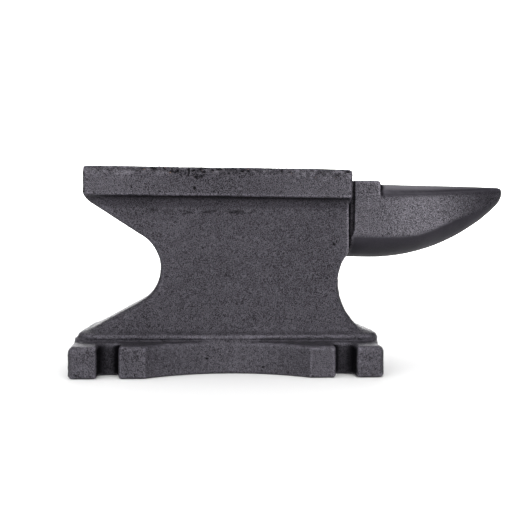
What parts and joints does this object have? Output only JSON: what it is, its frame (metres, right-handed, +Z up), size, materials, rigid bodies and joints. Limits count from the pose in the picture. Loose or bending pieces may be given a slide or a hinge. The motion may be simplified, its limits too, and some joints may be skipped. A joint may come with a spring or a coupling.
{
  "type": "anvil",
  "caption": "Small bench anvil of cast iron with a tapering horn, a low cutting table, a flat face with square and round tool holes, an overhanging heel and a slotted base.",
  "frame": {"origin": "centre of the flat underside of the base", "axes": "+X towards the horn along the length, +Z up to the working face, +Y towards the back, the side away from the usual view"},
  "size_m": [0.25, 0.095, 0.113],
  "materials": {
    "casting": "rough sand-cast skin under thin satin black-grey paint",
    "face": "satin black-grey paint, rougher and pitted along the top edges",
    "horn": "satin black-grey paint, cast cheeks and a dressed, smoother belly"
  },
  "bodies": {
    "root": {"base_plate": "casting", "foot_heel_front": "casting", "foot_heel_back": "casting", "foot_horn_front": "casting", "foot_horn_back": "casting", "plinth": "casting", "waist": "casting", "heel": "casting", "face_plate": "face", "cutting_table": "casting", "horn": "horn"}
  },
  "joints": []
}
